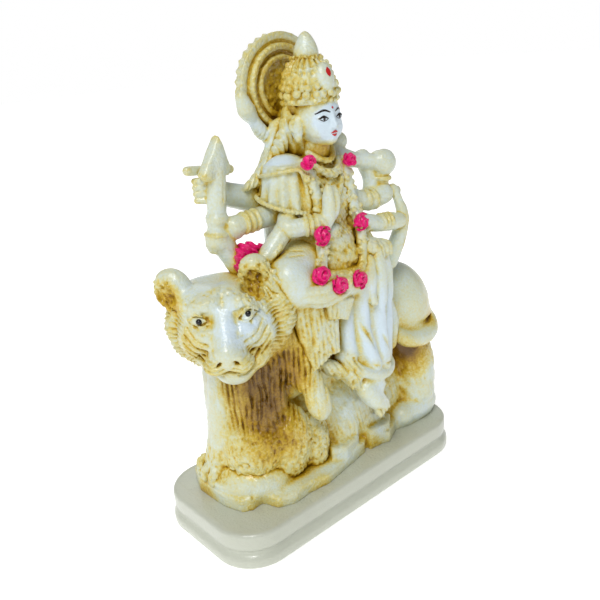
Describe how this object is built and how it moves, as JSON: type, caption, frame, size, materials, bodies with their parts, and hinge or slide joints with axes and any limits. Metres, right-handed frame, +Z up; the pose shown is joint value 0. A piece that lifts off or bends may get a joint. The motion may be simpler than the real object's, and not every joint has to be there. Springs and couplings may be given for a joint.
{
  "type": "durga figure",
  "caption": "Cast resin devotional statuette of a many-armed goddess riding a lion, with a round halo, on a low oblong plinth with rounded corners.",
  "frame": {"origin": "centre of the plinth's underside", "axes": "+Z up, +X along the plinth from the lion's head to its rump, the goddess faces -Y"},
  "size_m": [0.1275, 0.063, 0.1832],
  "materials": {
    "ivory_resin": "glossy ivory glaze with a yellow-ochre wash left in the hollows",
    "plinth_resin": "glossy pale grey-green ivory"
  },
  "bodies": {
    "root": {"figure": "ivory_resin", "plinth": "plinth_resin"}
  },
  "joints": []
}
